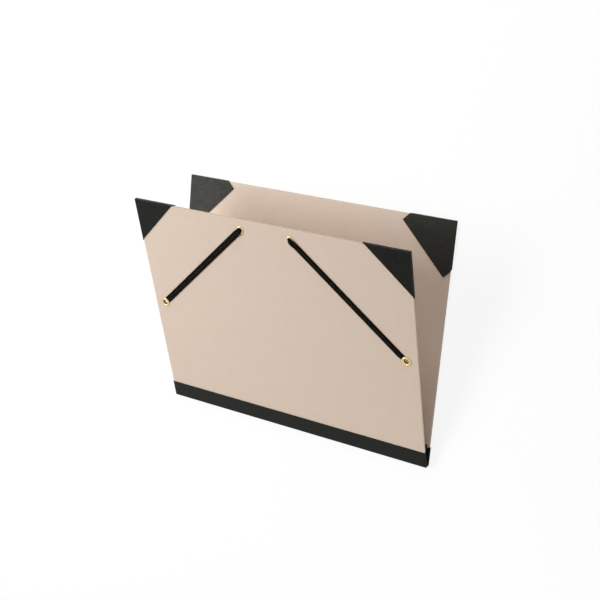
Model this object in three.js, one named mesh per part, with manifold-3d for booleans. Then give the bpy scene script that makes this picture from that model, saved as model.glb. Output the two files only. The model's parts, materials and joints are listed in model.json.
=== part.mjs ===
// Drawing folder: two pasteboard covers on a cloth spine, lying on its back cover.
// Millimetres, +Z up, the spine along X on the near side. Each piece is one closed solid.
import * as THREE from 'three';
import { mergeVertices } from 'three/addons/utils/BufferGeometryUtils.js';
import Module from 'manifold-3d';

const wasm = await Module();
wasm.setup();

// Covers
const coverWidth = 330;
const coverHeight = 262; // fold line to free edge
const boardThickness = 2;
const openingAngle = 21.4; // degrees between the covers at rest

// Cloth
const clothThickness = 0.4;
const liningThickness = 0.3;
const spineWidth = 7; // between the two fold lines
const spineClothHeight = 19.8; // up the outside of each cover
const liningHeight = 23; // up the inside of each cover
const cornerLeg = 48.5; // of the triangle outside, along each edge
const cornerSlant = 3.5; // how much longer the cloth is once it is round the edge
const cornerReturn = 7; // how much further the flaps reach inside

// Room kept between pieces that are glued or pressed together, and at a fold
const seat = 0.3;
const foldRoom = 0.4;

// Elastics and their eyelets, all on the front cover
const elasticWidth = 7;
const elasticThickness = 0.9;
const upperEyeletFromMiddle = 30.2;
const upperEyeletFromTop = 12.3;
const lowerEyeletFromSide = 13;
const lowerEyeletFromTop = 128;
const upperHoleRadius = 2.35;
const upperFlangeRadius = 4.4;
const lowerHoleRadius = 2.8;
const lowerFlangeRadius = 5.4;
const eyeletSheet = 0.3;
const eyeletCrown = 0.7; // height of the rolled flange
const eyeletRollWidth = 1.3; // of the roll inside, beyond the barrel
const pinchedThickness = 0.4; // the elastic under the lower flange
const pocketMouth = 3.4; // where the elastic slopes down to the lower flange
const threadedWidth = 3.8; // the elastic bunched up in the upper eyelet
const threadedThickness = 1.2;
const edgeCut = 0.5; // share of the elastic's half thickness that its long edges lose

// How the elastic climbs out of the upper eyelet: shares of the way out, the height and the bunched width
const climb = [
  [0.12, 0.45, 1],
  [0.45, 0.88, 1],
  [1, 1, 1.08],
];
const overFlange = [0.9, 1.3]; // height and width again, just past the flange
const spreadAt = 1.6; // radii of the flange to where it has nearly spread out
const spreadShare = 0.9; // of its full width there
const flatAt = 2.3; // radii of the flange to where it lies flat

// The bar on the elastic's end, inside the cover
const barLength = 14;
const barWidth = 4.6;
const barThickness = 1;

// Heights in a cover's own frame: 0 is the fold line, the middle of the outer cloth, and + is inwards
const clothOut = -clothThickness / 2;
const clothIn = clothThickness / 2;
const boardOut = clothIn + seat;
const boardIn = boardOut + boardThickness;
const flapOut = boardIn + seat;
const flapIn = flapOut + clothThickness;
const liningIn = flapOut + liningThickness;
const stripIn = clothIn + liningThickness; // the lining is glued to the cloth in the spine
const boardFoot = stripIn + seat; // fold line to the board's lower edge
const wrap = seat + clothThickness; // how far the cloth stands out past the board's edges

const material = (color, roughness, metalness = 0) =>
  new THREE.MeshStandardMaterial({ color, roughness, metalness });

const finishes = {
  board: () => material(0xd4c1b0, 0.9),
  cloth: () => material(0x26261f, 0.75),
  lining: () => material(0x1b1a17, 0.8),
  elastic: () => material(0x15130f, 0.85),
  brass: () => material(0xd9b774, 0.3, 1),
  steel: () => material(0xb9b9b5, 0.4, 1),
};

function piece(name, geometry, finish) {
  const mesh = new THREE.Mesh(geometry, finishes[finish]());
  mesh.name = name;
  return mesh;
}

// A flat outline in X and Y, raised from one height to another
function prism(outline, from, to, holes = []) {
  const shape = new THREE.Shape(outline.map(([x, y]) => new THREE.Vector2(x, y)));
  for (const { x, y, radius } of holes) {
    shape.holes.push(new THREE.Path().absarc(x, y, radius, 0, 2 * Math.PI, true));
  }
  const depth = to - from;
  const geometry = new THREE.ExtrudeGeometry(shape, { depth, bevelEnabled: false, curveSegments: 20 });
  return geometry.translate(0, 0, from);
}

const rectangle = (left, bottom, right, top) => [
  [left, bottom],
  [right, bottom],
  [right, top],
  [left, top],
];

function toSolid(geometry) {
  const bare = geometry.clone();
  bare.deleteAttribute('normal');
  bare.deleteAttribute('uv');
  const merged = mergeVertices(bare, 1e-4);
  const mesh = new wasm.Mesh({
    numProp: 3,
    vertProperties: new Float32Array(merged.attributes.position.array),
    triVerts: new Uint32Array(merged.index.array),
  });
  return new wasm.Manifold(mesh);
}

function toGeometry(solid) {
  const { vertProperties, triVerts } = solid.getMesh();
  const geometry = new THREE.BufferGeometry();
  geometry.setAttribute('position', new THREE.BufferAttribute(vertProperties, 3));
  geometry.setIndex(new THREE.BufferAttribute(triVerts, 1));
  return geometry;
}

// Where things are on a cover: X along the spine, Y from the fold line to the free edge
const halfWidth = coverWidth / 2;
const upperEyelet = new THREE.Vector2(upperEyeletFromMiddle, coverHeight - upperEyeletFromTop);
const lowerEyelet = new THREE.Vector2(halfWidth - lowerEyeletFromSide, coverHeight - lowerEyeletFromTop);
const elasticRun = upperEyelet.distanceTo(lowerEyelet);
const elasticTurn = lowerEyelet.clone().sub(upperEyelet).angle();
const boreIn = (holeRadius) => holeRadius + eyeletSheet + seat; // the hole in the board

// Eyelets
// The section is a sheet of metal that rolls over outside, runs through the board and rolls inside
function eyelet(holeRadius, flangeRadius) {
  const barrel = holeRadius + eyeletSheet / 2;
  const crown = (flangeRadius - holeRadius) / 2; // half the flange's width
  const rise = eyeletCrown - eyeletSheet / 2;
  const rollWidth = eyeletRollWidth / 2;
  const outerFoot = boardOut - seat;
  const innerFoot = boardIn + seat;
  const arc = 6;
  const middle = [];
  for (let i = 0; i <= arc; i += 1) {
    const turn = (Math.PI * i) / arc;
    const out = crown - eyeletSheet / 2;
    middle.push([holeRadius + crown + out * Math.cos(turn), outerFoot - rise * Math.sin(turn)]);
  }
  for (let i = 0; i <= arc; i += 1) {
    const turn = (Math.PI * i) / arc;
    middle.push([barrel + rollWidth * (1 - Math.cos(turn)), innerFoot + rollWidth * Math.sin(turn)]);
  }
  const outline = thickened(middle, eyeletSheet);
  return new THREE.LatheGeometry(outline, 28).rotateX(Math.PI / 2);
}

// The closed outline of a bent sheet, from the line through the middle of it
function thickened(middle, thickness) {
  const points = middle.map(([x, y]) => new THREE.Vector2(x, y));
  const side = (offset) =>
    points.map((point, i) => {
      const before = points[Math.max(i - 1, 0)];
      const after = points[Math.min(i + 1, points.length - 1)];
      const along = after.clone().sub(before).normalize();
      return new THREE.Vector2(point.x - along.y * offset, point.y + along.x * offset);
    });
  const outline = [...side(-thickness / 2), ...side(thickness / 2).reverse()];
  return [...outline, outline[0].clone()];
}

// A band lofted through its stations: place along and height, width, thickness
function band(stations) {
  const positions = [];
  const sides = 8;
  stations.forEach(([x, y, width, thickness], i) => {
    const before = stations[Math.max(i - 1, 0)];
    const after = stations[Math.min(i + 1, stations.length - 1)];
    const up = new THREE.Vector2(before[1] - after[1], after[0] - before[0]).normalize();
    const wide = width / 2;
    const thick = thickness / 2;
    const cut = thick * edgeCut;
    const section = [
      [wide, cut - thick],
      [wide, thick - cut],
      [wide - cut, thick],
      [cut - wide, thick],
      [-wide, thick - cut],
      [-wide, cut - thick],
      [cut - wide, -thick],
      [wide - cut, -thick],
    ];
    for (const [across, out] of section) {
      positions.push(x + up.x * out, across, y + up.y * out);
    }
  });
  const last = (stations.length - 1) * sides;
  const faces = [];
  for (let i = 0; i < last; i += sides) {
    for (let j = 0; j < sides; j += 1) {
      const a = i + j;
      const b = i + ((j + 1) % sides);
      faces.push(a, b, a + sides, b, b + sides, a + sides);
    }
  }
  for (let j = 1; j < sides - 1; j += 1) {
    faces.push(0, j + 1, j);
    faces.push(last, last + j, last + j + 1);
  }
  const geometry = new THREE.BufferGeometry();
  geometry.setAttribute('position', new THREE.Float32BufferAttribute(positions, 3));
  geometry.setIndex(faces);
  return geometry;
}

// Elastics: X runs from the upper eyelet to the lower one
const barOut = boardIn + 2 * seat + eyeletRollWidth / 2 + eyeletSheet / 2;
const barIn = barOut + barThickness;
const restingHeight = boardOut - seat - elasticThickness / 2;
const pinchedHeight = boardOut + pinchedThickness / 2;
const pocketFloor = boardOut + pinchedThickness + seat;
const pocketLength = lowerFlangeRadius + pocketMouth;

function elastic() {
  const rim = (upperHoleRadius + upperFlangeRadius) / 2;
  const crest = boardOut - 2 * seat - eyeletCrown - threadedThickness / 2;
  const lowered = elasticRun - lowerFlangeRadius - seat;
  const [flangeHeight, flangeWidth] = overFlange;
  const half = (crest + restingHeight) / 2;
  const route = [
    [0, barIn, threadedWidth, threadedThickness],
    [0, boardOut, threadedWidth, threadedThickness],
    ...climb.map(([out, rise, spread]) => [rim * out, crest * rise, threadedWidth * spread, threadedThickness]),
    [upperFlangeRadius + seat, crest * flangeHeight, threadedWidth * flangeWidth, threadedThickness],
    [upperFlangeRadius * spreadAt, half, elasticWidth * spreadShare, elasticThickness],
    [upperFlangeRadius * flatAt, restingHeight, elasticWidth, elasticThickness],
    [lowered - pocketMouth, restingHeight, elasticWidth, elasticThickness],
    [lowered, pinchedHeight, elasticWidth, pinchedThickness],
    [elasticRun - boreIn(lowerHoleRadius), pinchedHeight, elasticWidth, pinchedThickness],
  ];
  return band(route);
}

// The metal bar crimped on the elastic's end, which keeps it from slipping back through the eyelet
function crossBar() {
  const end = barWidth / 2;
  const straight = barLength / 2 - end;
  const outline = new THREE.Shape();
  outline.absarc(0, straight, end, 0, Math.PI);
  outline.absarc(0, -straight, end, Math.PI, 2 * Math.PI);
  const slotX = threadedThickness / 2 + seat;
  const slotY = threadedWidth / 2 + seat;
  const slot = rectangle(-slotX, -slotY, slotX, slotY).map(([x, y]) => new THREE.Vector2(x, y));
  outline.holes.push(new THREE.Path(slot.reverse()));
  const options = { depth: barThickness, bevelEnabled: false, curveSegments: 12 };
  return new THREE.ExtrudeGeometry(outline, options).translate(0, 0, barOut);
}

// Boards
function board() {
  return prism(rectangle(-halfWidth, boardFoot, halfWidth, coverHeight), boardOut, boardIn);
}

// The front board has a hole for each eyelet, and a dent where each lower one pinches the elastic
function piercedBoard() {
  const holes = [1, -1].flatMap((side) => [
    { x: side * upperEyelet.x, y: upperEyelet.y, radius: boreIn(upperHoleRadius) },
    { x: side * lowerEyelet.x, y: lowerEyelet.y, radius: boreIn(lowerHoleRadius) },
  ]);
  const outline = rectangle(-halfWidth, boardFoot, halfWidth, coverHeight);
  let solid = toSolid(prism(outline, boardOut, boardIn, holes));
  const dentWidth = elasticWidth / 2 + seat;
  for (const side of [1, -1]) {
    const dent = prism(rectangle(-pocketLength, -dentWidth, 0, dentWidth), clothOut, pocketFloor);
    dent.rotateZ(elasticTurn).translate(lowerEyelet.x, lowerEyelet.y, 0);
    if (side < 0) dent.rotateY(Math.PI).translate(0, 0, clothOut + pocketFloor);
    solid = solid.subtract(toSolid(dent));
  }
  return toGeometry(solid);
}

// Cloth and lining of the spine
// The outer cloth is turned in over the boards' ends, so its section is a shallow channel
function spineCloth() {
  const end = halfWidth + wrap;
  const inner = halfWidth + seat;
  const channel = [
    [-end, clothOut],
    [end, clothOut],
    [end, liningIn],
    [inner, liningIn],
    [inner, clothIn],
    [-inner, clothIn],
    [-inner, liningIn],
    [-end, liningIn],
  ];
  return prism(channel, -spineClothHeight, -foldRoom).rotateX(Math.PI / 2);
}

function spineLining() {
  return prism(rectangle(-halfWidth, boardFoot, halfWidth, liningHeight), flapOut, liningIn);
}

// Between the fold lines the cloth and the lining are glued together
function spineStrip() {
  const end = halfWidth + wrap;
  const near = foldRoom - spineWidth;
  const cloth = toSolid(prism(rectangle(-end, near, end, -foldRoom), clothOut, clothIn));
  const lining = prism(rectangle(-halfWidth, near, halfWidth, -foldRoom), clothOut, stripIn);
  return toGeometry(cloth.add(toSolid(lining)));
}

// Corners
// Cloth folded over both edges: a triangle outside, and inside two flaps that meet and reach further
function corner() {
  const out = -wrap;
  const leg = cornerLeg;
  const edgeLeg = leg + cornerSlant / 2;
  const insideLeg = leg + cornerSlant;
  const tip = insideLeg + cornerReturn;
  const outside = [
    [out, out],
    [leg + wrap, out],
    [out, leg + wrap],
  ];
  const edges = [
    [out, out],
    [edgeLeg, out],
    [edgeLeg, -seat],
    [-seat, -seat],
    [-seat, edgeLeg],
    [out, edgeLeg],
  ];
  const inside = [
    [out, out],
    [insideLeg, out],
    [insideLeg, 0],
    [tip, cornerReturn],
    [cornerReturn, tip],
    [0, insideLeg],
    [out, insideLeg],
  ];
  const solid = toSolid(prism(outside, clothOut, clothIn))
    .add(toSolid(prism(edges, clothOut, flapIn)))
    .add(toSolid(prism(inside, flapOut, flapIn)));
  return toGeometry(solid);
}

// Both covers are built alike, and the front one is turned over onto the other side of the spine,
// so what is on its left there is on the right here
function cover(face, leftwards) {
  const group = new THREE.Group();
  group.add(piece(`${face}_board`, face === 'front' ? piercedBoard() : board(), 'board'));
  group.add(piece(`spine_cloth_${face}`, spineCloth(), 'cloth'));
  group.add(piece(`spine_lining_${face}`, spineLining(), 'lining'));
  for (const [side, turn] of [[1, Math.PI], [-1, -Math.PI / 2]]) {
    const mesh = piece(`corner_${face}_${sideName(side, leftwards)}`, corner(), 'cloth');
    mesh.position.set(side * halfWidth, coverHeight, 0);
    mesh.rotation.z = turn;
    group.add(mesh);
  }
  return group;
}

const sideName = (side, leftwards) => (side * leftwards > 0 ? 'left' : 'right');

function closure(side, leftwards) {
  const group = new THREE.Group();
  const name = sideName(side, leftwards);
  group.position.set(side * upperEyelet.x, upperEyelet.y, 0);
  group.rotation.z = side > 0 ? elasticTurn : Math.PI - elasticTurn;
  group.add(piece(`eyelet_upper_${name}`, eyelet(upperHoleRadius, upperFlangeRadius), 'brass'));
  group.add(piece(`elastic_${name}`, elastic(), 'elastic'));
  group.add(piece(`cross_bar_${name}`, crossBar(), 'steel'));
  const lower = piece(`eyelet_lower_${name}`, eyelet(lowerHoleRadius, lowerFlangeRadius), 'brass');
  lower.position.x = elasticRun;
  group.add(lower);
  return group;
}

// Assembly, from the back cover on the table through both folds to the front cover
const foldAngle = THREE.MathUtils.degToRad(90 - openingAngle / 2);

const folder = new THREE.Group();
const backCover = cover('back', -1);
backCover.position.set(0, 0, -clothOut);
folder.add(backCover);

const spine = new THREE.Group();
spine.add(piece('spine_cloth_middle', spineStrip(), 'cloth'));
spine.rotation.x = -foldAngle;
backCover.add(spine);

const frontFold = new THREE.Group();
frontFold.position.y = -spineWidth;
frontFold.rotation.x = -foldAngle;
spine.add(frontFold);

const frontCover = cover('front', 1);
frontCover.rotation.z = Math.PI;
frontCover.add(closure(1, 1), closure(-1, 1));
frontFold.add(frontCover);

// The origin is under the middle of the whole
const extent = new THREE.Box3().setFromObject(folder, true);
folder.position.y = -(extent.min.y + extent.max.y) / 2;

export default folder;
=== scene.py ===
# Drawing folder: two board covers on a black cloth spine, with two elastics on the front.
# In the CAD frame the back cover lies on the table. Lengths are in millimetres, and in
# metres for the camera, the lamps, the floor and the depth of bumps.
import json
import math

import bmesh
import bpy
from mathutils import Matrix, Vector


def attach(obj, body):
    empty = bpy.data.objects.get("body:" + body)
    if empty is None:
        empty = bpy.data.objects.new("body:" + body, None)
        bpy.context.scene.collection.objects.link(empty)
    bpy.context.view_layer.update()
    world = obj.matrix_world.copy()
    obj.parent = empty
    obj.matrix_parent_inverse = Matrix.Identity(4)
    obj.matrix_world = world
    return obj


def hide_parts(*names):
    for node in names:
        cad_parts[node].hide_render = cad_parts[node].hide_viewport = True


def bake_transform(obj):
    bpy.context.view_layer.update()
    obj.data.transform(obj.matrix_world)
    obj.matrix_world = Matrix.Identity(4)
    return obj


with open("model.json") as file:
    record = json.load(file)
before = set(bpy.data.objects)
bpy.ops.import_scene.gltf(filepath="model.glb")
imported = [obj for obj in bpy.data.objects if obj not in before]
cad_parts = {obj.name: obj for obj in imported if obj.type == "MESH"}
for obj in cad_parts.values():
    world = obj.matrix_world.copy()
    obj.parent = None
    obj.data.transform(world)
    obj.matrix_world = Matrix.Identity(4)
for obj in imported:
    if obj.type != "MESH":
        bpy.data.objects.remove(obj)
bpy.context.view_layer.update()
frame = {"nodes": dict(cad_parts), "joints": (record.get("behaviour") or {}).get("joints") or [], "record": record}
scene = bpy.context.scene
scene.view_settings.view_transform = "Standard"

# The covers and the folds between them, as in the CAD
folder = {
    "halfWidth": 165,
    "height": 262,  # fold line to free edge
    "foldTurn": math.radians(79.3),  # at each fold
    "spineWidth": 7,
    "boardOut": 0.5,  # heights above the fold line, + inwards
    "boardIn": 2.5,
    "boardFoot": 0.8,
}
foldJoints = {joint["name"]: Vector(joint["pos_m"]) for joint in frame["joints"]}
folded = Matrix.Rotation(-folder["foldTurn"], 4, "X")
facingBack = Matrix.Rotation(math.pi, 4, "Z")
millimetre = 0.001  # in the frame's metres
inMillimetres = Matrix.Diagonal((millimetre, millimetre, millimetre, 1))
atBackFold = Matrix.Translation(foldJoints["back_fold"])
atFrontFold = Matrix.Translation(foldJoints["front_fold"])
covers = {  # from a cover's own millimetres: X along the spine, Y to the free edge, Z inwards
    "back_cover": atBackFold @ inMillimetres,
    "front_cover": atFrontFold @ folded @ folded @ facingBack @ inMillimetres,
}


# Camera and light

cameraLook = {
    "lens": 68.85,
    "sensor": 36,
    "azimuth": 32.51,  # degrees, round the folder as it stands in the photograph
    "elevation": 23.19,
    "roll": 1.13,
    "distance": 1.2227,
    "target": (0.01183, 0.0005, 0.15955),
    "standing": 79,  # degrees from the photograph's upright folder to this one on its back
    "origin": (0.0, -0.13177, 0.00661),
}


def makeCamera(look):
    lens = bpy.data.cameras.new("camera")
    lens.lens = look["lens"]
    lens.sensor_width = look["sensor"]
    camera = bpy.data.objects.new("camera", lens)
    scene.collection.objects.link(camera)
    azimuth = math.radians(look["azimuth"])
    elevation = math.radians(look["elevation"])
    back = Vector((
        math.sin(azimuth) * math.cos(elevation),
        -math.cos(azimuth) * math.cos(elevation),
        math.sin(elevation),
    ))
    place = Matrix.Translation(Vector(look["target"]) + look["distance"] * back)
    aim = Matrix.Rotation(azimuth, 4, "Z") @ Matrix.Rotation(math.pi / 2 - elevation, 4, "X")
    roll = Matrix.Rotation(-math.radians(look["roll"]), 4, "Z")
    laid = Matrix.Rotation(-math.radians(look["standing"]), 4, "X")
    camera.matrix_world = Matrix.Translation(look["origin"]) @ laid @ place @ aim @ roll
    scene.camera = camera


lampAim = (0.0, 0.0, 0.05)
lamps = {
    "key": {
        "power": 15,
        "size": 0.75,
        "place": (-0.9, 0.32, 1.25),
        "tint": (1.0, 1.0, 1.0),
        "glossy": False,
    },
    "sheen": {  # the only lamp that cloth and metal mirror
        "power": 6.6,
        "size": 0.5,
        "place": (-0.79, -0.2, 1.09),
        "tint": (1.0, 1.0, 1.0),
        "glossy": True,
    },
    "far": {  # shines in between the covers
        "power": 11.5,
        "size": 0.8,
        "place": (-0.2, 1.3, 0.52),
        "tint": (0.94, 1.0, 1.04),
        "glossy": False,
    },
    "low": {
        "power": 0.55,
        "size": 0.4,
        "place": (0.3, -0.45, 0.3),
        "tint": (1.0, 1.0, 1.0),
        "glossy": False,
    },
    "side": {
        "power": 1.2,
        "size": 0.5,
        "place": (1.2, -0.1, 0.14),
        "tint": (1.0, 0.99, 0.95),
        "glossy": False,
    },
}


def makeLamp(name, look):
    light = bpy.data.lights.new(name, "AREA")
    light.energy = look["power"]
    light.color = look["tint"]
    light.size = look["size"]
    lamp = bpy.data.objects.new(name, light)
    scene.collection.objects.link(lamp)
    lamp.visible_glossy = look["glossy"]
    lamp.location = look["place"]
    lamp.rotation_mode = "QUATERNION"
    lamp.rotation_quaternion = (Vector(lampAim) - lamp.location).to_track_quat("-Z", "Y")


makeCamera(cameraLook)
for lampName, lampLook in lamps.items():
    makeLamp(lampName, lampLook)
print("camera and light placed")


# Shaders

class Wire:  # an output socket whose sums add Math nodes
    def __init__(self, paint, socket):
        self.paint = paint
        self.socket = socket

    def maths(self, operation, *values):
        sockets = dict(enumerate(values))
        return self.paint.node("ShaderNodeMath", {"operation": operation}, sockets)

    def __add__(self, other):
        return self.maths("ADD", self, other)

    def __sub__(self, other):
        return self.maths("SUBTRACT", self, other)

    def __rsub__(self, other):
        return self.maths("SUBTRACT", other, self)

    def __mul__(self, other):
        return self.maths("MULTIPLY", self, other)

    def __lt__(self, other):
        return self.maths("LESS_THAN", self, other)

    def __abs__(self):
        return self.maths("ABSOLUTE", self)

    def sine(self):
        return self.maths("SINE", self)

    def wave(self):  # the sine, between 0 and 1
        return self.sine() * 0.5 + 0.5

    def smooth(self, start, end):
        settings = {"interpolation_type": "SMOOTHSTEP"}
        return self.paint.node("ShaderNodeMapRange", settings, {"Value": self, 1: start, 2: end})

    def beside(self, out):  # another output of the same node
        return Wire(self.paint, self.socket.node.outputs[out])

    __radd__ = __add__


def colour(code):  # "d5c2b3" as linear light
    channels = [int(code[i:i + 2], 16) / 255 for i in (0, 2, 4)]
    linear = [c / 12.92 if c <= 0.04045 else ((c + 0.055) / 1.055) ** 2.4 for c in channels]
    return (*linear, 1)


hairLook = {
    "wander": 0.35,  # scale of the noise that bends the hairs
    "bend": (2.2, 2.2, 0),
    "rim": (0.1, 0.24),
}


class Paint:  # one material and its nodes
    def __init__(self, name, slot=None):
        self.material = bpy.data.materials.new(name)
        self.material.use_nodes = True
        self.tree = self.material.node_tree
        self.shader = self.tree.nodes["Principled BSDF"]
        self.output = self.tree.nodes["Material Output"]
        self.slot = slot

    def node(self, kind, settings, sockets, out=0):
        made = self.tree.nodes.new(kind)
        for key, value in settings.items():
            setattr(made, key, value)
        for key, value in sockets.items():
            self.plug(made.inputs[key], value)
        return Wire(self, made.outputs[out])

    def plug(self, socket, value):
        if isinstance(value, Wire):
            self.tree.links.new(value.socket, socket)
        else:
            socket.default_value = value

    def place(self):  # where a point is on its flat piece, in millimetres
        return self.node("ShaderNodeAttribute", {"attribute_name": "flat"}, {}, out="Vector")

    def axes(self):
        first = self.node("ShaderNodeSeparateXYZ", {}, {0: self.place()})
        return first, first.beside("Y"), first.beside("Z")

    def turned(self, place, size, turn, shift=(0, 0, 0)):
        sockets = {
            "Vector": place,
            "Location": shift,
            "Rotation": (0, 0, math.radians(turn)),
            "Scale": size,
        }
        return self.node("ShaderNodeMapping", {"vector_type": "TEXTURE"}, sockets)

    def noise(self, size, detail=2, roughness=0.5, turn=0):
        sockets = {
            "Vector": self.turned(self.place(), size, turn),
            "Scale": 1,
            "Detail": detail,
            "Roughness": roughness,
        }
        return self.node("ShaderNodeTexNoise", {}, sockets)

    def vector(self, operation, *values, out=0):
        sockets = dict(enumerate(values))
        return self.node("ShaderNodeVectorMath", {"operation": operation}, sockets, out)

    def hairs(self, size, turn, share, shift):  # separate and short
        source = {"Vector": self.place(), "Scale": hairLook["wander"]}
        wander = self.node("ShaderNodeTexNoise", {}, source, out="Color")
        centred = self.vector("SUBTRACT", wander, (0.5, 0.5, 0.5))
        bent = self.vector("MULTIPLY_ADD", centred, hairLook["bend"], self.place())
        spread = self.turned(bent, size, turn, shift)
        cells = self.node("ShaderNodeTexVoronoi", {}, {"Vector": spread, "Scale": 1})
        chosen = self.node("ShaderNodeSeparateColor", {}, {0: cells.beside("Color")})
        return (1 - cells.smooth(*hairLook["rim"])) * (chosen < share)

    def fibres(self, kinds):
        layers = [self.hairs(*kind) for kind in kinds]
        return sum(layers[1:], layers[0])

    def mix(self, amount, below, above):
        return self.node("ShaderNodeMix", {"data_type": "RGBA"}, {0: amount, 6: below, 7: above}, out=2)

    def bump(self, height, depth):
        return self.node("ShaderNodeBump", {}, {"Height": height, "Distance": depth})

    def finish(self, **values):
        for key, value in values.items():
            self.plug(self.shader.inputs[key.replace("_", " ")], value)
        return self


boardLook = {
    "base": "d7c4b5",
    "cloud": "d2bfaf",
    "darkFibre": "a9937f",
    "paleFibre": "efe4d8",
    "clouds": {"size": (16, 16, 16), "detail": 4, "roughness": 0.6},
    "mottle": {"size": (1.6, 1.1, 1.4), "detail": 3, "roughness": 0.7, "turn": 20},
    "cloudShare": 0.35,
    "cloudSpan": (0.3, 0.72),
    "darkFibres": (  # size of a hair, its turn in degrees, share of all and shift
        ((2.2, 0.34, 0.5), 12, 0.22, (0, 0, 0)),
        ((1.7, 0.3, 0.5), 74, 0.16, (5, 3, 0)),
        ((2.0, 0.26, 0.5), 131, 0.2, (9, 1, 0)),
    ),
    "darkShare": 0.34,
    "paleFibres": (
        ((2.6, 0.36, 0.5), 40, 0.24, (3, 7, 0)),
        ((2.2, 0.32, 0.5), 100, 0.24, (1, 4, 0)),
    ),
    "paleShare": 0.4,
    "tooth": {"size": (0.5, 0.35, 0.4), "detail": 3, "roughness": 0.7},
    "toothHeight": 0.7,
    "paleHeight": 0.4,
    "darkHeight": 0.3,
    "mottleHeight": 0.5,
    "relief": 0.00006,
    "roughness": 0.88,
    "mottleRoughness": 0.12,
}


def makeBoardPaint(look):
    paint = Paint("greyboard", "board")
    clouds = paint.noise(**look["clouds"])
    mottle = paint.noise(**look["mottle"])
    cloudy = clouds * look["cloudShare"] + mottle * (1 - look["cloudShare"])
    shade = paint.mix(cloudy.smooth(*look["cloudSpan"]), colour(look["base"]), colour(look["cloud"]))
    dark = paint.fibres(look["darkFibres"])
    pale = paint.fibres(look["paleFibres"])
    shade = paint.mix(dark * look["darkShare"], shade, colour(look["darkFibre"]))
    shade = paint.mix(pale * look["paleShare"], shade, colour(look["paleFibre"]))
    height = paint.noise(**look["tooth"]) * look["toothHeight"]
    height = height + pale * look["paleHeight"] - dark * look["darkHeight"]
    height = height + mottle * look["mottleHeight"]
    rough = look["roughness"] + (mottle - 0.5) * look["mottleRoughness"]
    return paint.finish(Base_Color=shade, Roughness=rough, Normal=paint.bump(height, look["relief"]))


edgeLook = {
    "cream": "eee1cf",
    "line": "cbb8a4",
    "shadedFreeEdge": "a8927e",  # painted shade: the free edges are coloured darker
    "ply": {"size": (30, 30, 0.16), "detail": 3, "roughness": 0.75},
    "grit": {"size": (0.5, 0.5, 0.12), "detail": 2, "roughness": 0.6},
    "plyShare": 0.6,
    "plySpan": (0.38, 0.64),
    "shadedFreeEdgeSpan": (-3, -1),  # from the free edge
    "shadedFreeEdgeShare": 0.8,
    "gritHeight": 0.6,
    "relief": 0.00012,
    "roughness": 0.92,
}


def makeBoardEdgePaint(look):
    paint = Paint("greyboardEdge", "board")
    ply = paint.noise(**look["ply"])
    grit = paint.noise(**look["grit"])
    layers = ply * look["plyShare"] + grit * (1 - look["plyShare"])
    shade = paint.mix(layers.smooth(*look["plySpan"]), colour(look["cream"]), colour(look["line"]))
    # painted shade: the cut faces near the free edge are mixed towards a darker colour
    reach = paint.axes()[1]
    start, end = look["shadedFreeEdgeSpan"]
    shadedFreeEdge = reach.smooth(folder["height"] + start, folder["height"] + end)
    shade = paint.mix(shadedFreeEdge * look["shadedFreeEdgeShare"], shade, colour(look["shadedFreeEdge"]))
    height = ply + grit * look["gritHeight"]
    bump = paint.bump(height, look["relief"])
    return paint.finish(Base_Color=shade, Roughness=look["roughness"], Normal=bump)


clothLook = {
    "thread": "171714",
    "raised": "2e2e29",
    "hollow": "080807",
    "inside": "33332f",  # painted sheen: the cloth's inner face is coloured lighter
    "pitch": 0.42,  # between threads
    "wander": {"size": (3, 3, 3)},
    "wanderBy": 2.4,
    "slub": {"size": (4, 0.5, 1), "detail": 3, "roughness": 0.65},
    "grain": {"size": (0.7, 0.55, 0.6), "detail": 4, "roughness": 0.72},
    "creases": {"size": (12, 8, 9), "turn": 25},
    "creaseSpan": (0.0, 0.2),
    "creased": 0.0,
    "weaveHeight": 0.5,
    "grainHeight": 0.9,
    "slubHeight": 0.5,
    "relief": 0.00005,
    "weaveShare": 0.35,
    "threadSpan": (0.22, 0.62),
    "rubbedSpan": (0.5, 0.72),
    "rubbedShare": 0.7,
    "sheenInsideSpan": (-1, 0.2),  # from the board's inner face
    "sheenInsideShare": (0.4, 0.7),  # least, and what the grain adds
    "roughness": 0.42,
    "slubRoughness": 0.3,
    "rubbedRoughness": 0.08,
    "creaseRoughness": 0.03,
    "gloss": 0.12,
    "worn": 1.0,
}
liningLook = dict(clothLook, worn=0.6)
cornerLook = dict(
    clothLook,
    thread="0e0e0c",
    raised="22221e",
    hollow="040403",
    roughness=0.34,
    worn=0.5,
    creased=3.2,
)


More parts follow.
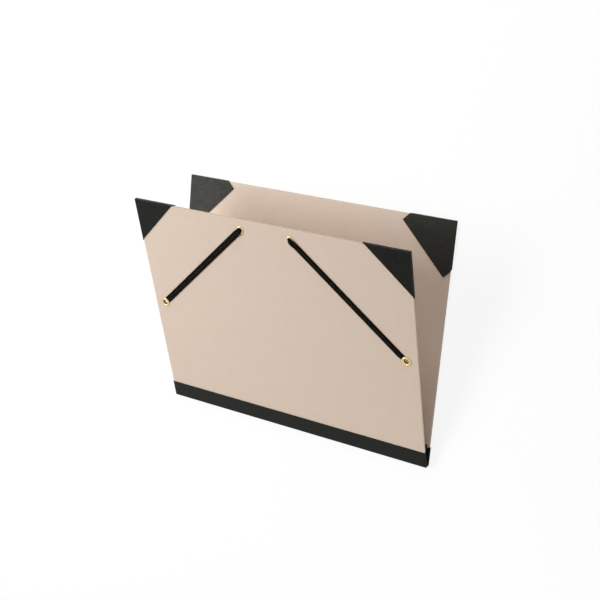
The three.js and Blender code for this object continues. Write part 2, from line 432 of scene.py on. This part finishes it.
def makeClothPaint(name, slot, look):
    paint = Paint(name, slot)
    across, along, depth = paint.axes()
    turnsPerMillimetre = 2 * math.pi / look["pitch"]
    wander = paint.noise(**look["wander"]) * look["wanderBy"]
    warp = (across * turnsPerMillimetre + wander).wave()
    weft = (along * turnsPerMillimetre + wander).wave()
    weave = warp * weft
    slub = paint.noise(**look["slub"])
    grain = paint.noise(**look["grain"])
    creases = abs(paint.noise(**look["creases"]) - 0.5).smooth(*look["creaseSpan"])
    height = weave * look["weaveHeight"] + grain * look["grainHeight"]
    height = height + slub * look["slubHeight"] + creases * look["creased"]
    lit = weave * look["weaveShare"] + grain * (1 - look["weaveShare"])
    shade = paint.mix(lit.smooth(*look["threadSpan"]), colour(look["hollow"]), colour(look["thread"]))
    rubbed = (grain * 0.5 + slub * 0.5).smooth(*look["rubbedSpan"]) * look["worn"]
    shade = paint.mix(rubbed * look["rubbedShare"], shade, colour(look["raised"]))
    # painted sheen: the inner face of the cloth is mixed towards a lighter colour
    start, end = look["sheenInsideSpan"]
    inside = depth.smooth(folder["boardIn"] + start, folder["boardIn"] + end)
    least, grainy = look["sheenInsideShare"]
    shade = paint.mix(inside * (least + grain * grainy), shade, colour(look["inside"]))
    rough = look["roughness"] + (slub - 0.5) * look["slubRoughness"]
    rough = rough - rubbed * look["rubbedRoughness"]
    rough = rough + (creases - 0.5) * (look["creased"] * look["creaseRoughness"])
    return paint.finish(
        Base_Color=shade,
        Roughness=rough,
        Normal=paint.bump(height, look["relief"]),
        Specular_IOR_Level=look["gloss"],
    )


elasticLook = {
    "yarn": "0c0b08",
    "gap": "030302",
    "fleck": "4c463a",
    "ribPitch": 0.62,  # across the tape
    "cordPitch": 1.16,  # rubber threads along it
    "cordPull": 1.5,
    "fuzz": {"size": (0.35, 0.3, 0.3), "detail": 3, "roughness": 0.7},
    "ribHeight": 0.6,
    "cordHeight": 0.4,
    "fuzzHeight": 0.5,
    "relief": 0.00016,
    "yarnSpan": (0.25, 0.75),
    "flecks": {"size": (1.3, 0.6, 0.6)},
    "fleckSpan": (0.56, 0.66),
    "fleckZone": (0.8, 2.4),  # from the tape's middle line
    "fleckShare": 0.8,
    "roughness": 0.85,
    "gloss": 0.05,
}


def makeElasticPaint(look):
    paint = Paint("wovenElastic", "elastic")
    along, across = paint.axes()[:2]
    cords = (across * (2 * math.pi / look["cordPitch"])).sine()
    ribs = (along * (2 * math.pi / look["ribPitch"]) + cords * look["cordPull"]).wave()
    fuzz = paint.noise(**look["fuzz"])
    height = ribs * look["ribHeight"] + cords * look["cordHeight"] + fuzz * look["fuzzHeight"]
    lit = (ribs * 0.5 + fuzz * 0.5).smooth(*look["yarnSpan"])
    shade = paint.mix(lit, colour(look["gap"]), colour(look["yarn"]))
    nearMiddle = 1 - abs(across).smooth(*look["fleckZone"])
    flecks = paint.noise(**look["flecks"]).smooth(*look["fleckSpan"]) * nearMiddle
    shade = paint.mix(flecks * look["fleckShare"], shade, colour(look["fleck"]))
    return paint.finish(
        Base_Color=shade,
        Roughness=look["roughness"],
        Specular_IOR_Level=look["gloss"],
        Normal=paint.bump(height, look["relief"]),
    )


brassLook = {
    "bright": "e4cf98",
    "dull": "a5864c",
    "barrelShade": "3c2a10",  # painted shade inside the eyelets' barrels
    "barrelShadeShare": 0.85,
    "barrelStart": (0.1, 1.0),  # heights over which the painted shade comes and goes
    "barrelEnd": (2.2, 3.0),
    "stain": {"size": (1.2, 1.2, 1.2), "detail": 4, "roughness": 0.65},
    "stainSpan": (0.42, 0.72),
    "stainShare": 0.6,
    "scuff": {"size": (2.2, 0.08, 0.4), "turn": 35},
    "stainHeight": 0.4,
    "scuffHeight": 0.3,
    "relief": 0.00003,
    "roughness": 0.24,
    "stainRoughness": 0.14,
    "scuffRoughness": 0.1,
}
steelLook = dict(brassLook, bright="b9bab8", dull="8f908d", barrelShadeShare=0.0, roughness=0.3)


def makeMetalPaint(name, slot, look):
    paint = Paint(name, slot)
    depth = paint.axes()[2]
    # painted shade: the inside of each barrel is mixed towards a dark colour
    barrel = depth.smooth(*look["barrelStart"]) * (1 - depth.smooth(*look["barrelEnd"]))
    stain = paint.noise(**look["stain"]).smooth(*look["stainSpan"])
    scuff = paint.noise(**look["scuff"])
    shade = paint.mix(stain * look["stainShare"], colour(look["bright"]), colour(look["dull"]))
    shade = paint.mix(barrel * look["barrelShadeShare"], shade, colour(look["barrelShade"]))
    rough = look["roughness"] + stain * look["stainRoughness"]
    rough = rough + (scuff - 0.5) * look["scuffRoughness"]
    height = stain * look["stainHeight"] + scuff * look["scuffHeight"]
    return paint.finish(
        Base_Color=shade,
        Metallic=1.0,
        Roughness=rough,
        Normal=paint.bump(height, look["relief"]),
    )


board = makeBoardPaint(boardLook)
boardEdge = makeBoardEdgePaint(edgeLook)
cloth = makeClothPaint("bookCloth", "cloth", clothLook)
cornerCloth = makeClothPaint("cornerCloth", "cloth", cornerLook)
lining = makeClothPaint("bookClothInside", "lining", liningLook)
elastic = makeElasticPaint(elasticLook)
brass = makeMetalPaint("brass", "brass", brassLook)
steel = makeMetalPaint("platedSteel", "steel", steelLook)
print("materials made:", len(bpy.data.materials))


# Making pieces

def bodyOf(node):
    bodies = frame["record"]["behaviour"]["bodies"]
    return next(body for body, nodes in bodies.items() if node in nodes)


def asMesh(name, form):
    mesh = bpy.data.meshes.new(name)
    form.to_mesh(mesh)
    form.free()
    return mesh


def markFlat(mesh, points):  # keeps each vertex's place on its piece for the materials
    attribute = mesh.attributes.new("flat", "FLOAT_VECTOR", "POINT")
    attribute.data.foreach_set("vector", [value for point in points for value in point])


def addPiece(name, mesh, paint, nodes, body=None):
    piece = bpy.data.objects.new(name, mesh)
    scene.collection.objects.link(piece)
    mesh.materials.append(paint.material)
    if body:
        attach(piece, body)
    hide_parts(*nodes)
    return piece


def joinRings(form, rings):  # closed rings of as many vertices each
    for lower, upper in zip(rings, rings[1:]):
        for i in range(len(lower)):
            j = (i + 1) % len(lower)
            form.faces.new((lower[i], lower[j], upper[j], upper[i]))


def sharpEdges(form, degrees):
    limit = math.radians(degrees)
    return [e for e in form.edges if len(e.link_faces) == 2 and e.calc_face_angle(0) > limit]


softLook = {
    "board": 0.3,  # width of the eased edges
    "corner": 0.16,
    "segments": 3,
    "profile": 0.5,  # round
    "weld": 0.002,
    "flatWithin": 2,  # degrees
    "sharpFrom": 40,
    "faceUp": 0.8,  # what tilts more than this is a cut edge
}


def easeEdges(form, edges, width):
    bmesh.ops.bevel(
        form,
        geom=edges,
        offset=width,
        segments=softLook["segments"],
        affect="EDGES",
        profile=softLook["profile"],
        clamp_overlap=True,
    )


def softened(name, node, paint, edge, edgePaint=None):  # a CAD solid with its edges eased
    look = softLook
    body = bodyOf(node)
    form = bmesh.new()
    form.from_mesh(frame["nodes"][node].data)
    form.transform(covers[body].inverted())
    bmesh.ops.remove_doubles(form, verts=form.verts, dist=look["weld"])
    flat = math.radians(look["flatWithin"])
    bmesh.ops.dissolve_limit(form, angle_limit=flat, verts=form.verts, edges=form.edges)
    easeEdges(form, sharpEdges(form, look["sharpFrom"]), edge)
    for shape in form.faces:  # only the narrow strips of the eased edges are shaded round
        shape.smooth = 2 * shape.calc_area() < edge * shape.calc_perimeter()
    mesh = asMesh(name, form)
    markFlat(mesh, [vertex.co.copy() for vertex in mesh.vertices])
    facing = [abs(polygon.normal.z) for polygon in mesh.polygons]
    mesh.transform(covers[body])
    addPiece(name, mesh, paint, [node], body)
    if edgePaint:
        mesh.materials.append(edgePaint.material)
        for polygon, flatness in zip(mesh.polygons, facing):
            polygon.material_index = 0 if flatness > look["faceUp"] else 1


softened("boardBack", "back_board", board, softLook["board"], boardEdge)
softened("boardFront", "front_board", board, softLook["board"], boardEdge)
for face in ("back", "front"):
    for side in ("left", "right"):
        node = f"corner_{face}_{side}"
        softened(f"{node}_cloth", node, cornerCloth, softLook["corner"])
print("boards and corners made")


# The spine's cloth and lining run unbroken over the folds, in two halves that meet in the middle

spineLook = {
    "outside": 19.8,  # how high the cloth reaches up each cover
    "inside": 23,
    "thickness": 0.4,
    "bendRadius": 0.9,
    "bendSteps": 8,
    "coverStep": 1.2,
    "stripStep": 0.5,
    "wrap": 0.7,  # how far the cloth stands out past the board's ends
    "turnIn": 14,
    "turnInHeight": 2.75,
    "turnInSteps": 5,
    "endRound": 0.45,
    "endSteps": 4,
    "endShare": 0.17,  # of the height, taken by each of the end wall's rounded edges
    "wallOutside": 0.1,  # how far each step of the wall runs on in the material
    "wallInside": 0.2,
    "wallStart": 2.6,
    "flapStart": 3,
    "climb": (-1.2, 0.1),  # where the ends rise on to the board, from the board's foot
    "onStripFrom": 0.6,
    "stripFold": 0.42,
    "columns": 66,
    "blendReach": 1.6,  # from the fold, each way
}
spineLiningLook = {
    "thickness": 0.3,
    "glue": 0.05,
    "step": 1.4,
    "lastOnBoard": 1.3,  # from the fold
    "lead": 1.2,  # how straight it leaves the board, and meets the strip
    "tail": 0.9,
    "aboveStrip": 0.37,
    "bendSteps": 8,
    "inset": 2.6,
    "overTurnIn": (-2.2, -0.2),  # where it steps up, from the turned-in cloth's end
}


def alongPath(points, step):  # evenly spaced points on a line of straight runs
    spaced = [points[0]]
    for start, end in zip(points, points[1:]):
        count = max(1, round((end - start).length / step))
        spaced += [start.lerp(end, i / count) for i in range(1, count + 1)]
    return spaced


def alongStrip(distance):  # from the fold, in the cover's Y and Z
    turn = folder["foldTurn"]
    return Vector((-math.cos(turn), math.sin(turn))) * distance


def clothLine(look):  # from the cover's outside round the fold to the middle of the spine
    turn = folder["foldTurn"]
    radius = look["bendRadius"]
    reach = radius * math.tan(turn / 2)
    points = alongPath([Vector((look["outside"], 0)), Vector((reach, 0))], look["coverStep"])
    for i in range(1, look["bendSteps"] + 1):
        angle = turn * i / look["bendSteps"]
        points.append(Vector((reach - radius * math.sin(angle), radius - radius * math.cos(angle))))
    middle = alongStrip(folder["spineWidth"] / 2)
    return points + alongPath([points[-1], middle], look["stripStep"])[1:]


def liningLine(look):  # the same inside, over the board's foot and down into the gutter
    turn = folder["foldTurn"]
    skin = folder["boardIn"] + look["glue"] + look["thickness"] / 2
    inwards = Vector((math.sin(turn), math.cos(turn)))
    end = alongStrip(folder["spineWidth"] / 2) + inwards * look["aboveStrip"]
    start = Vector((look["lastOnBoard"], skin))
    points = alongPath([Vector((spineLook["inside"], skin)), start], look["step"])
    lead = start - Vector((look["lead"], 0))
    tail = end - alongStrip(look["tail"])
    for i in range(1, look["bendSteps"] + 1):
        t = i / look["bendSteps"]
        u = 1 - t
        points.append(start * u**3 + lead * 3 * u * u * t + tail * 3 * u * t * t + end * t**3)
    return points


def strip(name, body, line, profile, heights, thickness, paint, nodes):
    form = bmesh.new()
    rows = []
    flat = []
    travelled = 0
    for i, point in enumerate(line):
        before, after = line[max(i - 1, 0)], line[min(i + 1, len(line) - 1)]
        along = (after - before).normalized()
        inwards = Vector((along.y, -along.x))
        travelled += (point - before).length if i else 0
        row = []
        for across, rise, spread in profile:
            lifted = point + inwards * heights(point, across, rise)
            row.append(form.verts.new((across, lifted.x, lifted.y)))
            flat.append((spread, travelled, 0))
        rows.append(row)
    for lower, upper in zip(rows, rows[1:]):
        for j in range(len(lower) - 1):
            form.faces.new((lower[j], lower[j + 1], upper[j + 1], upper[j]))
    bmesh.ops.recalc_face_normals(form, faces=form.faces)
    mesh = asMesh(name, form)
    markFlat(mesh, flat)
    mesh.transform(covers[body])
    piece = addPiece(name, mesh, paint, nodes)
    shell = piece.modifiers.new("thickness", "SOLIDIFY")
    shell.thickness = thickness * millimetre
    shell.offset = 0
    graph = bpy.context.evaluated_depsgraph_get()
    thick = bpy.data.meshes.new_from_object(piece.evaluated_get(graph))
    piece.modifiers.clear()
    piece.data = thick
    for polygon in thick.polygons:
        polygon.use_smooth = True
    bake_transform(piece)


def ease(value, start, end):
    t = min(max((value - start) / (end - start), 0), 1)
    return t * t * (3 - 2 * t)


def clothProfile(look):  # across the spine: turned-in flap, end wall, outside, end wall, flap
    end = folder["halfWidth"] + look["wrap"] - look["thickness"] / 2
    rounded = look["endRound"]
    inner = end - rounded
    share = look["endShare"]
    half = []
    for i in range(look["turnInSteps"], 0, -1):
        turned = look["turnIn"] * i / look["turnInSteps"]
        half.append((inner - turned, 1, end + look["flapStart"] + turned))
    angles = [math.pi / 2 * i / look["endSteps"] for i in range(look["endSteps"] + 1)]
    for i, angle in enumerate(angles):
        rise = 1 - share * (1 - math.cos(angle))
        spread = end + look["wallStart"] - i * look["wallInside"]
        half.append((inner + rounded * math.sin(angle), rise, spread))
    for i, angle in enumerate(angles):
        rise = share * (1 - math.sin(angle))
        half.append((inner + rounded * math.cos(angle), rise, end - i * look["wallOutside"]))
    middle = []
    for i in range(1, look["columns"]):
        share = 2 * i / look["columns"]
        middle.append((inner - inner * share, 0, end - end * share))
    mirrored = [(-across, rise, -spread) for across, rise, spread in reversed(half)]
    return half + middle + mirrored


def clothHeights(point, across, rise):  # how far the cloth's ends stand up, on and off the board
    look = spineLook
    start, end = look["climb"]
    foot = folder["boardFoot"]
    onBoard = ease(point.x, foot + start, foot + end) if point.y < look["onStripFrom"] else 0
    return rise * (look["stripFold"] + (look["turnInHeight"] - look["stripFold"]) * onBoard)


def liningProfile(look):
    edge = folder["halfWidth"] - look["inset"]
    count = spineLook["columns"]
    places = [edge - 2 * edge * i / count for i in range(count + 1)]
    return [(across, 0, across) for across in places]


def liningHeights(point, across, rise):  # the lining steps up over the turned-in cloth
    flapEnd = folder["halfWidth"] + spineLook["wrap"] - spineLook["turnIn"]
    start, end = spineLiningLook["overTurnIn"]
    return spineLook["thickness"] * ease(abs(across), flapEnd + start, flapEnd + end)


for face in ("back", "front"):
    strip(
        f"spineCloth_{face}",
        f"{face}_cover",
        clothLine(spineLook),
        clothProfile(spineLook),
        clothHeights,
        spineLook["thickness"],
        cloth,
        [f"spine_cloth_{face}"] + (["spine_cloth_middle"] if face == "back" else []),
    )
    strip(
        f"spineLining_{face}",
        f"{face}_cover",
        liningLine(spineLiningLook),
        liningProfile(spineLiningLook),
        liningHeights,
        spineLiningLook["thickness"],
        lining,
        [f"spine_lining_{face}"],
    )
print("spine cloth and lining made")


# Elastics, eyelets and bars on the front cover

closureLook = {
    "upperFromMiddle": 30.2,
    "upperFromTop": 12.3,
    "lowerFromSide": 13,
    "lowerFromTop": 128,
    "seat": 0.3,  # left free between pieces that touch
}

eyeletLook = {
    "upperHole": 2.35,
    "upperFlange": 4.4,
    "lowerHole": 2.8,
    "lowerFlange": 5.4,
    "sheet": 0.3,
    "crown": 0.7,
    "rollWidth": 1.3,
    "rollSteps": 12,
    "barrelSteps": 5,
    "facets": 56,
}


def lathe(name, line, facets):
    form = bmesh.new()
    angles = [2 * math.pi * i / facets for i in range(facets)]
    rings = []
    for radius, height in line:
        places = [(radius * math.cos(angle), radius * math.sin(angle), height) for angle in angles]
        rings.append([form.verts.new(place) for place in places])
    joinRings(form, rings + rings[:1])
    bmesh.ops.recalc_face_normals(form, faces=form.faces)
    return asMesh(name, form)


def eyeletLine(hole, flange, look):  # the closed outline of a sheet rolled over outside and inside
    sheet = look["sheet"]
    crown = (flange - hole) / 2
    rise = look["crown"] - sheet / 2
    roll = look["rollWidth"] / 2
    outerFoot = folder["boardOut"] - closureLook["seat"]
    innerFoot = folder["boardIn"] + closureLook["seat"]
    turns = [math.pi * i / look["rollSteps"] for i in range(look["rollSteps"] + 1)]
    middle = []
    for turn in turns:
        radius = hole + crown + (crown - sheet / 2) * math.cos(turn)
        middle.append(Vector((radius, outerFoot - rise * math.sin(turn))))
    for i in range(1, look["barrelSteps"]):
        height = outerFoot + (innerFoot - outerFoot) * i / look["barrelSteps"]
        middle.append(Vector((hole + sheet / 2, height)))
    for turn in turns:
        radius = hole + sheet / 2 + roll * (1 - math.cos(turn))
        middle.append(Vector((radius, innerFoot + roll * math.sin(turn))))
    outer = []
    inner = []
    for i, point in enumerate(middle):
        along = (middle[min(i + 1, len(middle) - 1)] - middle[max(i - 1, 0)]).normalized()
        out = Vector((-along.y, along.x)) * sheet / 2
        outer.append(point + out)
        inner.append(point - out)
    return outer + inner[::-1]


tapeLook = {
    "width": 7,
    "thickness": 0.9,
    "threadedWidth": 3.8,  # bunched up in the upper eyelet
    "threadedThickness": 1.2,
    "innerEnd": 4.9,
    "climb": (  # over the flange: shares of its radius, of the crest's height and of the width
        (-0.1, 0.2, 1.08),
        (0.06, 0.78, 1.3),
        (0.5, 1, 1.52),
    ),
    "pastCrest": (1.1, 0.93),  # where, and the share of the full width there
    "spreadAt": 1.6,  # radii of the flange
    "flatAt": 2.3,
    "straightFrom": 4,
    "pocketSlope": 8,  # before the slope down to the lower flange
    "pocketMouth": 3.4,
    "pinched": 0.4,
    "smoothing": 6,
    "around": 20,
    "sideRound": 0.3,  # powers of the section's curve: nearly square at the sides
    "faceRound": 0.75,
    "narrowest": 3,
}


def smoothed(stations, steps):  # a curve through the stations, each a row of numbers
    path = []
    last = len(stations) - 1
    for i in range(last):
        rows = [stations[min(max(i + k, 0), last)] for k in (-1, 0, 1, 2)]
        for step in range(steps):
            t = step / steps
            weights = (
                (-t + 2 * t * t - t**3) / 2,
                (2 - 5 * t * t + 3 * t**3) / 2,
                (t + 4 * t * t - 3 * t**3) / 2,
                (t**3 - t * t) / 2,
            )
            path.append([sum(w * row[k] for w, row in zip(weights, rows)) for k in range(4)])
    return path + [list(stations[-1])]


def rounded(value, power):  # keeps the sign
    return math.copysign(abs(value) ** power, value)


def tape(name, stations, look):
    form = bmesh.new()
    rings = []
    flat = []
    around = look["around"]
    travelled = 0
    for i, (x, height, width, thickness) in enumerate(stations):
        before = Vector(stations[max(i - 1, 0)][:2])
        after = Vector(stations[min(i + 1, len(stations) - 1)][:2])
        along = (after - before).normalized()
        up = Vector((-along.y, along.x))
        travelled += (Vector((x, height)) - before).length if i else 0
        stretch = look["width"] / max(width, look["narrowest"])
        ring = []
        for k in range(around):
            angle = 2 * math.pi * k / around
            across = rounded(math.cos(angle), look["sideRound"]) * width / 2
            out = rounded(math.sin(angle), look["faceRound"]) * thickness / 2
            ring.append(form.verts.new((x + up.x * out, across, height + up.y * out)))
            flat.append((travelled, across * stretch, out))
        rings.append(ring)
    joinRings(form, rings)
    form.faces.new(rings[0])
    form.faces.new(rings[-1][::-1])
    bmesh.ops.recalc_face_normals(form, faces=form.faces)
    mesh = asMesh(name, form)
    markFlat(mesh, flat)
    return mesh


def tapeStations(look, run):  # distance from the upper eyelet, height, width and thickness
    seat = closureLook["seat"]
    outside = folder["boardOut"]
    flange = eyeletLook["upperFlange"]
    rim = (eyeletLook["upperHole"] + flange) / 2
    crest = outside - 2 * seat - eyeletLook["crown"] - look["threadedThickness"] / 2
    resting = outside - seat - look["thickness"] / 2
    pinched = outside + look["pinched"] / 2
    lowered = run - eyeletLook["lowerFlange"] - seat
    end = run - eyeletLook["lowerHole"] - eyeletLook["sheet"] - seat
    narrow = look["threadedWidth"]
    bunched = look["threadedThickness"]
    lying = (look["width"], look["thickness"])
    past, spread = look["pastCrest"]
    return [
        (0, look["innerEnd"], narrow, bunched),
        (0, outside, narrow, bunched),
        *[(rim * out, crest * rise, narrow * wide, bunched) for out, rise, wide in look["climb"]],
        (rim * past, crest, look["width"] * spread, bunched),
        (flange * look["spreadAt"], (crest + resting) / 2, *lying),
        (flange * look["flatAt"], resting, *lying),
        (flange * look["straightFrom"], resting, *lying),
        (run / 2, resting, *lying),
        (lowered - look["pocketMouth"] - look["pocketSlope"], resting, *lying),
        (lowered - look["pocketMouth"], resting, *lying),
        (lowered, pinched, look["width"], look["pinched"]),
        (end, pinched, look["width"], look["pinched"]),
    ]


barLook = {
    "length": 14,
    "width": 4.6,
    "thickness": 1,
    "endSteps": 12,
    "weld": 0.001,
    "sharpFrom": 50,  # degrees
    "eased": 0.22,
}


def within(value, limit):
    return min(max(value, -limit), limit)


def barMesh(name, look):
    seat = closureLook["seat"]
    form = bmesh.new()
    end = look["width"] / 2
    straight = look["length"] / 2 - end
    steps = look["endSteps"]
    outline = []
    for centre, start in ((straight, 0), (-straight, math.pi)):
        angles = [start + math.pi * i / steps for i in range(steps + 1)]
        outline += [(end * math.cos(angle), centre + end * math.sin(angle)) for angle in angles]
    slotX = tapeLook["threadedThickness"] / 2 + seat
    slotY = tapeLook["threadedWidth"] / 2 + seat
    shrink = slotY / look["length"] * 2
    slot = [(within(x, slotX), within(y * shrink, slotY)) for x, y in outline]
    low = folder["boardIn"] + 2 * seat + eyeletLook["rollWidth"] / 2 + eyeletLook["sheet"] / 2
    high = low + look["thickness"]
    rings = [
        [form.verts.new((x, y, z)) for x, y in ring]
        for ring, z in ((outline, low), (outline, high), (slot, high), (slot, low))
    ]
    joinRings(form, rings + rings[:1])
    bmesh.ops.remove_doubles(form, verts=form.verts, dist=look["weld"])
    bmesh.ops.recalc_face_normals(form, faces=form.faces)
    easeEdges(form, sharpEdges(form, look["sharpFrom"]), look["eased"])
    return asMesh(name, form)


def makeClosure(side, look):
    name = "left" if side > 0 else "right"
    topX = look["upperFromMiddle"] * side
    top = Vector((topX, folder["height"] - look["upperFromTop"]))
    footX = (folder["halfWidth"] - look["lowerFromSide"]) * side
    foot = Vector((footX, folder["height"] - look["lowerFromTop"]))
    run = (foot - top).length
    turn = math.atan2(foot.y - top.y, foot.x - top.x)
    toTop = Matrix.Translation((*top, 0)) @ Matrix.Rotation(turn, 4, "Z")
    toFoot = toTop @ Matrix.Translation((run, 0, 0))
    facets = eyeletLook["facets"]
    upperLine = eyeletLine(eyeletLook["upperHole"], eyeletLook["upperFlange"], eyeletLook)
    lowerLine = eyeletLine(eyeletLook["lowerHole"], eyeletLook["lowerFlange"], eyeletLook)
    stations = smoothed(tapeStations(tapeLook, run), tapeLook["smoothing"])
    upper = lathe(f"eyeletUpper_{name}", upperLine, facets)
    lower = lathe(f"eyeletLower_{name}", lowerLine, facets)
    band = tape(f"elasticTape_{name}", stations, tapeLook)
    bar = barMesh(f"crossBar_{name}", barLook)
    parts = (
        (upper, toTop, brass, f"eyelet_upper_{name}"),
        (lower, toFoot, brass, f"eyelet_lower_{name}"),
        (band, toTop, elastic, f"elastic_{name}"),
        (bar, toTop, steel, f"cross_bar_{name}"),
    )
    for mesh, move, paint, node in parts:
        if "flat" not in mesh.attributes:
            markFlat(mesh, [vertex.co.copy() for vertex in mesh.vertices])
        mesh.transform(covers["front_cover"] @ move)
        mesh.shade_smooth()
        addPiece(mesh.name, mesh, paint, [node], "front_cover")


for side in (1, -1):
    makeClosure(side, closureLook)
print("elastics, eyelets and bars made")


# Floor and background

studioLook = {
    "sky": 0.15,  # share of the light that comes from all round
    "skyTint": (1.0, 0.98, 0.9, 1),
    "white": (1, 1, 1, 1),
    "floor": (0.93, 0.93, 0.93, 1),
    "floorGlow": 0.86,  # the rest of the floor shows the shadow
    "floorEnd": (0.55, 1.1),  # distances between which the floor turns plain white
    "floorHalf": 4,
    "floorLevel": -0.0002,
}


def makeFloor(look):
    paint = Paint("floor")
    ray = paint.node("ShaderNodeLightPath", {}, {}, out="Is Camera Ray")
    plain = paint.node("ShaderNodeBsdfDiffuse", {}, {"Color": look["floor"]})
    glow = paint.node("ShaderNodeEmission", {}, {"Color": look["white"], "Strength": 1.0})
    spot = paint.node("ShaderNodeNewGeometry", {}, {}, out="Position")
    away = paint.vector("LENGTH", spot, out="Value")
    share = look["floorGlow"] + away.smooth(*look["floorEnd"]) * (1 - look["floorGlow"])
    cover = paint.node("ShaderNodeMixShader", {}, {0: ray * share, 1: plain, 2: glow})
    paint.plug(paint.output.inputs["Surface"], cover)
    half = look["floorHalf"]
    mesh = bpy.data.meshes.new("floor")
    corners = [(-half, -half, 0), (half, -half, 0), (half, half, 0), (-half, half, 0)]
    mesh.from_pydata(corners, [], [(0, 1, 2, 3)])
    mesh.materials.append(paint.material)
    floor = bpy.data.objects.new("floor", mesh)
    scene.collection.objects.link(floor)
    floor.location.z = look["floorLevel"]


def makeWorld(look):
    world = bpy.data.worlds.new("studio")
    scene.world = world
    world.use_nodes = True
    nodes = world.node_tree.nodes
    links = world.node_tree.links
    path = nodes.new("ShaderNodeLightPath")
    seen = nodes.new("ShaderNodeMath")
    seen.operation = "MAXIMUM"
    links.new(path.outputs["Is Camera Ray"], seen.inputs[0])
    links.new(path.outputs["Is Glossy Ray"], seen.inputs[1])
    soft = nodes["Background"]
    soft.inputs["Strength"].default_value = look["sky"]
    soft.inputs["Color"].default_value = look["skyTint"]
    white = nodes.new("ShaderNodeBackground")
    white.inputs["Color"].default_value = look["white"]
    white.inputs["Strength"].default_value = 1
    both = nodes.new("ShaderNodeMixShader")
    links.new(seen.outputs[0], both.inputs[0])
    links.new(soft.outputs[0], both.inputs[1])
    links.new(white.outputs[0], both.inputs[2])
    links.new(both.outputs[0], nodes["World Output"].inputs["Surface"])


makeFloor(studioLook)
makeWorld(studioLook)
print("floor and background made")
